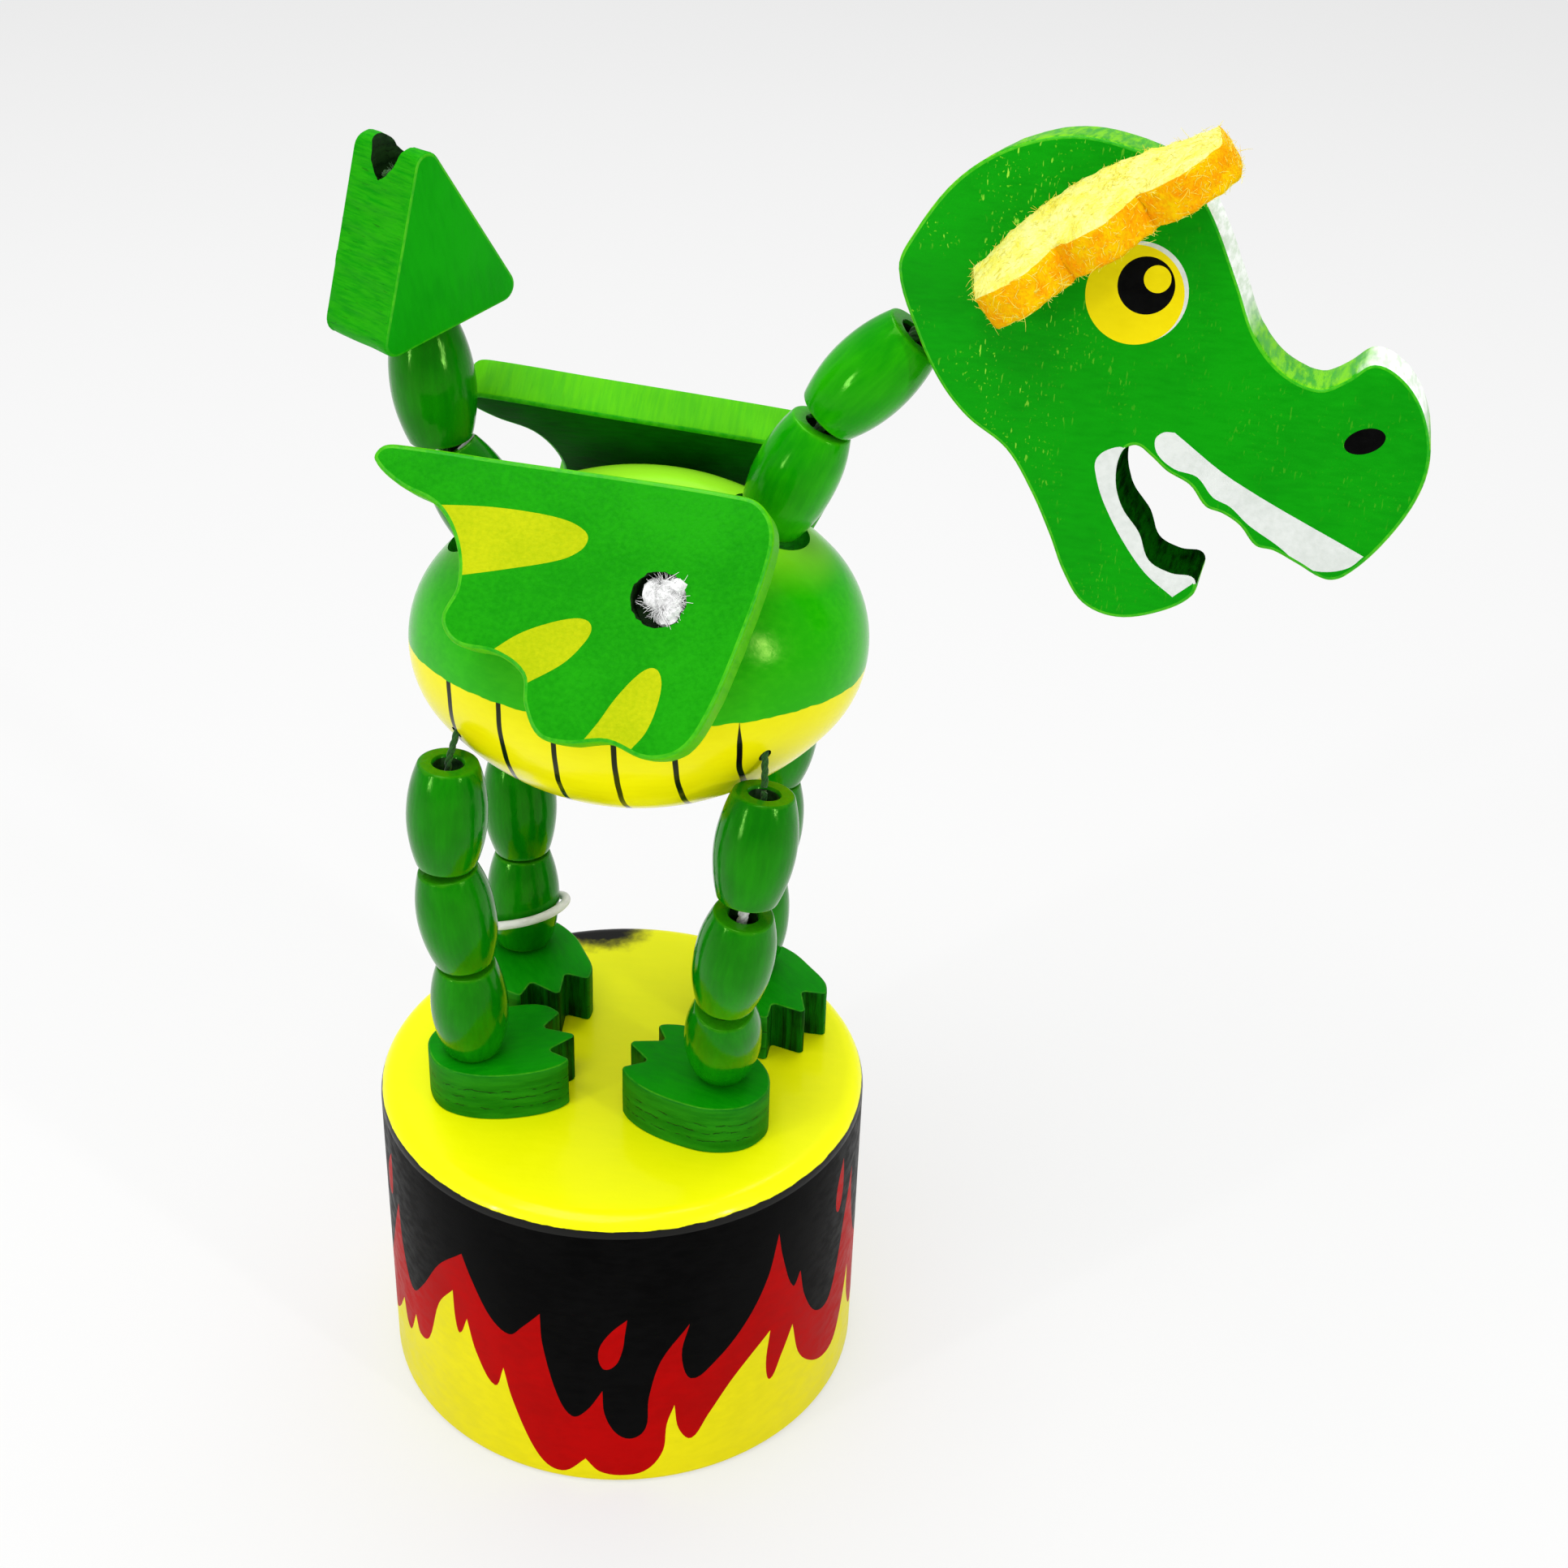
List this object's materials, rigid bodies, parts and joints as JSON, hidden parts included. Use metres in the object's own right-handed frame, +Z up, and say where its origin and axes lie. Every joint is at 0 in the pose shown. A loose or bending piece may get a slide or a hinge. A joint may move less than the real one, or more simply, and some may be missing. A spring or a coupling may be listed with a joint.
{
  "type": "push puppet",
  "caption": "Push puppet: a jointed wooden dragon of lacquered beads on cords, standing on a round drum whose sprung underside button makes the figure sink and droop.",
  "frame": {"origin": "centre of the drum's bottom rim plane", "axes": "+X the way the dragon faces, +Y to the dragon's left, +Z up"},
  "size_m": [0.0941, 0.0509, 0.1364],
  "materials": {
    "green_lacquer": "gloss lacquer over turned or sawn wood",
    "drum_paint": "painted and printed wood",
    "bare_wood": "bare wood",
    "steel": "drawn wire",
    "cord": "twisted cord",
    "felt": "pressed felt",
    "elastic": "matte"
  },
  "bodies": {
    "base": {"base_drum": "drum_paint", "return_spring": "steel", "foot_hind_right": "green_lacquer", "foot_hind_left": "green_lacquer", "foot_front_right": "green_lacquer", "foot_front_left": "green_lacquer"},
    "button": {"push_button": "bare_wood", "drive_cords": "cord"},
    "hind_right_lower": {"bead_hind_right_lower": "green_lacquer", "cord_hind_right_lower": "cord"},
    "hind_right_middle": {"bead_hind_right_middle": "green_lacquer", "cord_hind_right_middle": "cord"},
    "hind_right_upper": {"bead_hind_right_upper": "green_lacquer", "cord_hind_right_upper": "cord"},
    "hind_left_lower": {"bead_hind_left_lower": "green_lacquer", "cord_hind_left_lower": "cord", "elastic_loop": "elastic"},
    "hind_left_middle": {"bead_hind_left_middle": "green_lacquer", "cord_hind_left_middle": "cord"},
    "hind_left_upper": {"bead_hind_left_upper": "green_lacquer", "cord_hind_left_upper": "cord"},
    "front_right_lower": {"bead_front_right_lower": "green_lacquer", "cord_front_right_lower": "cord"},
    "front_right_middle": {"bead_front_right_middle": "green_lacquer", "cord_front_right_middle": "cord"},
    "front_right_upper": {"bead_front_right_upper": "green_lacquer", "cord_front_right_upper": "cord"},
    "front_left_lower": {"bead_front_left_lower": "green_lacquer", "cord_front_left_lower": "cord"},
    "front_left_middle": {"bead_front_left_middle": "green_lacquer", "cord_front_left_middle": "cord"},
    "front_left_upper": {"bead_front_left_upper": "green_lacquer", "cord_front_left_upper": "cord"},
    "torso": {"torso": "green_lacquer", "torso_cords": "cord", "wing_cord": "cord"},
    "neck_lower": {"neck_bead_lower": "green_lacquer", "neck_cord_lower": "cord"},
    "neck_upper": {"neck_bead_upper": "green_lacquer", "neck_cord_upper": "cord"},
    "head": {"head": "green_lacquer", "head_cord": "cord", "frill_right": "felt", "frill_left": "felt"},
    "tail_lower": {"tail_bead_lower": "green_lacquer", "tail_cord_lower": "cord"},
    "tail_upper": {"tail_bead_upper": "green_lacquer", "tail_cord_upper": "cord"},
    "tail_tip": {"tail_tip": "green_lacquer", "tail_cord_tip": "cord"},
    "wing_right": {"wing_right": "green_lacquer"},
    "wing_left": {"wing_left": "green_lacquer"}
  },
  "joints": [
    {"name": "button_press", "type": "slide", "parent": "base", "child": "button", "axis": [0, 0, 1], "range_m": [0, 0.008], "stiffness_N_per_m": 39, "springref_m": 0.00162, "deforming": ["return_spring"]},
    {"name": "hind_right_ankle", "type": "hinge", "parent": "base", "child": "hind_right_lower", "pos_m": [-0.01115, -0.0079, 0.04136], "axis": [0, 1, 0], "range_deg": [0, 26], "stiffness_Nm_per_rad": 0.41, "springref_deg": -0.83},
    {"name": "hind_right_knee_low", "type": "hinge", "parent": "hind_right_lower", "child": "hind_right_middle", "pos_m": [-0.01116, -0.00909, 0.05294], "axis": [0, 1, 0], "range_deg": [0, 8], "stiffness_Nm_per_rad": 0.33, "springref_deg": -1.03},
    {"name": "hind_right_knee_high", "type": "hinge", "parent": "hind_right_middle", "child": "hind_right_upper", "pos_m": [-0.01725, -0.00969, 0.06427], "axis": [0, 1, 0], "range_deg": [-8, 0], "stiffness_Nm_per_rad": 0.29, "springref_deg": -1.2},
    {"name": "hind_left_ankle", "type": "hinge", "parent": "base", "child": "hind_left_lower", "pos_m": [-0.01095, 0.011, 0.04123], "axis": [0, 1, 0], "range_deg": [0, 26.2], "stiffness_Nm_per_rad": 0.0033, "springref_deg": 0.29},
    {"name": "hind_left_knee_low", "type": "hinge", "parent": "hind_left_lower", "child": "hind_left_middle", "pos_m": [-0.01095, 0.01159, 0.05249], "axis": [0, 1, 0], "range_deg": [0, 7.9], "stiffness_Nm_per_rad": 0.0015, "springref_deg": 0.42},
    {"name": "hind_left_knee_high", "type": "hinge", "parent": "hind_left_middle", "child": "hind_left_upper", "pos_m": [-0.01624, 0.01198, 0.06359], "axis": [0, 1, 0], "range_deg": [-6.5, 0], "stiffness_Nm_per_rad": 0.00039, "springref_deg": -0.72},
    {"name": "front_right_ankle", "type": "hinge", "parent": "base", "child": "front_right_lower", "pos_m": [0.01394, -0.0067, 0.04183], "axis": [0, 1, 0], "range_deg": [0, 27.2], "stiffness_Nm_per_rad": 0.0033, "springref_deg": 0.05},
    {"name": "front_right_knee_low", "type": "hinge", "parent": "front_right_lower", "child": "front_right_middle", "pos_m": [0.01488, -0.01116, 0.05266], "axis": [0, 1, 0], "range_deg": [0, 10.9], "stiffness_Nm_per_rad": 0.0016, "springref_deg": 0.1},
    {"name": "front_right_knee_high", "type": "hinge", "parent": "front_right_middle", "child": "front_right_upper", "pos_m": [0.012, -0.01183, 0.06577], "axis": [0, 1, 0], "range_deg": [-20.4, 0], "stiffness_Nm_per_rad": 0.00038, "springref_deg": -0.91},
    {"name": "front_left_ankle", "type": "hinge", "parent": "base", "child": "front_left_lower", "pos_m": [0.01324, 0.0119, 0.04117], "axis": [0, 1, 0], "range_deg": [0, 28], "stiffness_Nm_per_rad": 0.0033, "springref_deg": 0.11},
    {"name": "front_left_knee_low", "type": "hinge", "parent": "front_left_lower", "child": "front_left_middle", "pos_m": [0.01402, 0.01268, 0.05223], "axis": [0, 1, 0], "range_deg": [0, 10], "stiffness_Nm_per_rad": 0.0015, "springref_deg": 0.19},
    {"name": "front_left_knee_high", "type": "hinge", "parent": "front_left_middle", "child": "front_left_upper", "pos_m": [0.01031, 0.01327, 0.06389], "axis": [0, 1, 0], "range_deg": [-16.6, 0], "stiffness_Nm_per_rad": 0.00039, "springref_deg": -0.88},
    {"name": "hip", "type": "hinge", "parent": "hind_right_upper", "child": "torso", "pos_m": [-0.01423, -0.00931, 0.07502], "axis": [0, 1, 0], "range_deg": [-23.5, 0], "stiffness_Nm_per_rad": 0.25, "springref_deg": -1.24},
    {"name": "neck_root", "type": "hinge", "parent": "torso", "child": "neck_lower", "pos_m": [0.01336, 0.00145, 0.09716], "axis": [0, 1, 0], "range_deg": [0, 18], "stiffness_Nm_per_rad": 0.071, "springref_deg": -1.56},
    {"name": "neck_middle", "type": "hinge", "parent": "neck_lower", "child": "neck_upper", "pos_m": [0.02001, 0.00145, 0.10635], "axis": [0, 1, 0], "range_deg": [0, 20], "stiffness_Nm_per_rad": 0.056, "springref_deg": -1.54},
    {"name": "head_nod", "type": "hinge", "parent": "neck_upper", "child": "head", "pos_m": [0.0273, 0.00145, 0.11445], "axis": [0, 1, 0], "range_deg": [0, 20], "stiffness_Nm_per_rad": 0.039, "springref_deg": -1.55},
    {"name": "tail_root", "type": "hinge", "parent": "torso", "child": "tail_lower", "pos_m": [-0.01071, 0.00145, 0.09193], "axis": [0, 1, 0], "range_deg": [-5, 0], "stiffness_Nm_per_rad": 0.0071, "springref_deg": 0.64},
    {"name": "tail_middle", "type": "hinge", "parent": "tail_lower", "child": "tail_upper", "pos_m": [-0.01434, 0.00145, 0.10265], "axis": [0, 1, 0], "range_deg": [-20, 0], "stiffness_Nm_per_rad": 0.0038, "springref_deg": 0.54},
    {"name": "tail_tip_swing", "type": "hinge", "parent": "tail_upper", "child": "tail_tip", "pos_m": [-0.02021, 0.00136, 0.11373], "axis": [0, 1, 0], "range_deg": [-24, 0], "stiffness_Nm_per_rad": 0.0013, "springref_deg": -0.58},
    {"name": "wing_right_turn", "type": "hinge", "parent": "torso", "child": "wing_right", "pos_m": [0.0067, -0.01135, 0.09454], "axis": [0, -0.8387, 0.5446], "range_deg": [-20, 20]},
    {"name": "wing_left_turn", "type": "hinge", "parent": "torso", "child": "wing_left", "pos_m": [0.0067, 0.01425, 0.09454], "axis": [0, 0.8387, 0.5446], "range_deg": [-20, 20]}
  ],
  "couplings": [
    {"joint": "hind_right_ankle", "follows": "button_press", "rad_per_m": 56.723},
    {"joint": "hind_right_knee_low", "follows": "button_press", "rad_per_m": 17.453},
    {"joint": "hind_right_knee_high", "follows": "button_press", "rad_per_m": -17.453},
    {"joint": "hind_left_ankle", "follows": "button_press", "rad_per_m": 57.159},
    {"joint": "hind_left_knee_low", "follows": "button_press", "rad_per_m": 17.235},
    {"joint": "hind_left_knee_high", "follows": "button_press", "rad_per_m": -14.181},
    {"joint": "front_right_ankle", "follows": "button_press", "rad_per_m": 59.341},
    {"joint": "front_right_knee_low", "follows": "button_press", "rad_per_m": 23.78},
    {"joint": "front_right_knee_high", "follows": "button_press", "rad_per_m": -44.506},
    {"joint": "front_left_ankle", "follows": "button_press", "rad_per_m": 61.086},
    {"joint": "front_left_knee_low", "follows": "button_press", "rad_per_m": 21.817},
    {"joint": "front_left_knee_high", "follows": "button_press", "rad_per_m": -36.215},
    {"joint": "hip", "follows": "button_press", "rad_per_m": -51.269},
    {"joint": "neck_root", "follows": "button_press", "rad_per_m": 39.27},
    {"joint": "neck_middle", "follows": "button_press", "rad_per_m": 43.633},
    {"joint": "head_nod", "follows": "button_press", "rad_per_m": 43.633},
    {"joint": "tail_root", "follows": "button_press", "rad_per_m": -10.908},
    {"joint": "tail_middle", "follows": "button_press", "rad_per_m": -43.633},
    {"joint": "tail_tip_swing", "follows": "button_press", "rad_per_m": -52.36}
  ]
}
